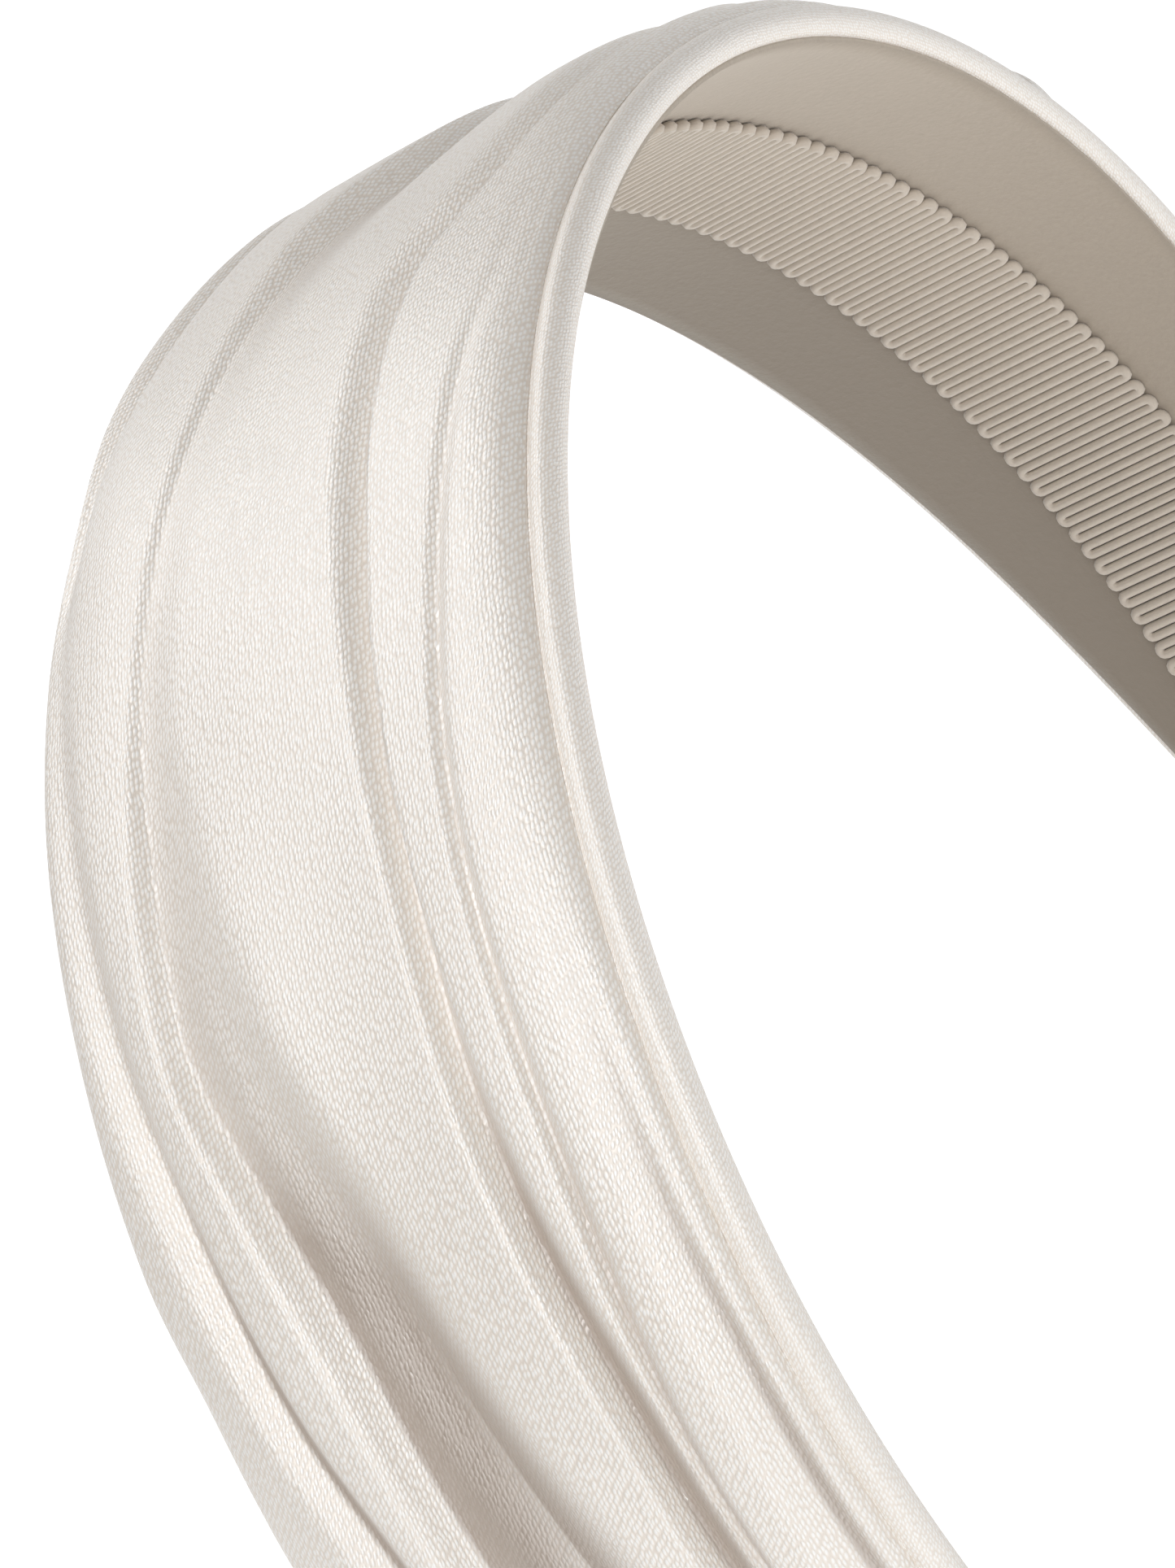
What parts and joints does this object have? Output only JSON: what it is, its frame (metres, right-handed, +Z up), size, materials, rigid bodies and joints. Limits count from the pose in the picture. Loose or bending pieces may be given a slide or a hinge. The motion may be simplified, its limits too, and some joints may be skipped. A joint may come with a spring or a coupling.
{
  "type": "knotted headband",
  "caption": "Padded, sprung hair band draped in pleated satin with a knot at one side, a soft lining and a gathered grip braid inside.",
  "frame": {"origin": "on the floor, under the middle of the whole band, knot included", "axes": "+Z up from the tips to the crown; +X towards the knotted side; -Y is the front edge, +Y the back edge"},
  "size_m": [0.1596, 0.0428, 0.1417],
  "materials": {
    "band_core": "matte moulded plastic strip",
    "padding": "soft foam, filed as fabric because the list has no foam",
    "base_satin": "ivory satin on the bias, rolled edge",
    "outer_satin": "ivory satin, lengthwise pleats",
    "knot_satin": "ivory satin, gathered",
    "lining": "matte beige suede-like cloth",
    "grip_braid": "matte beige serpentine cord braid"
  },
  "bodies": {
    "left_half": {"core_left": "band_core", "foam_pad_left": "padding", "base_cover_left": "base_satin", "lining_left": "lining", "grip_braid_left": "grip_braid", "outer_satin_left": "outer_satin"},
    "right_half": {"core_right": "band_core", "foam_pad_right": "padding", "base_cover_right": "base_satin", "lining_right": "lining", "grip_braid_right": "grip_braid", "outer_satin_middle": "outer_satin", "outer_satin_right": "outer_satin", "knot_gather": "knot_satin", "knot_wrap": "knot_satin"}
  },
  "joints": [
    {"name": "band_opening", "type": "hinge", "parent": "left_half", "child": "right_half", "pos_m": [-0.00499, 0, 0.1418], "axis": [0, -1, 0], "range_deg": [0, 20], "stiffness_Nm_per_rad": 1}
  ]
}
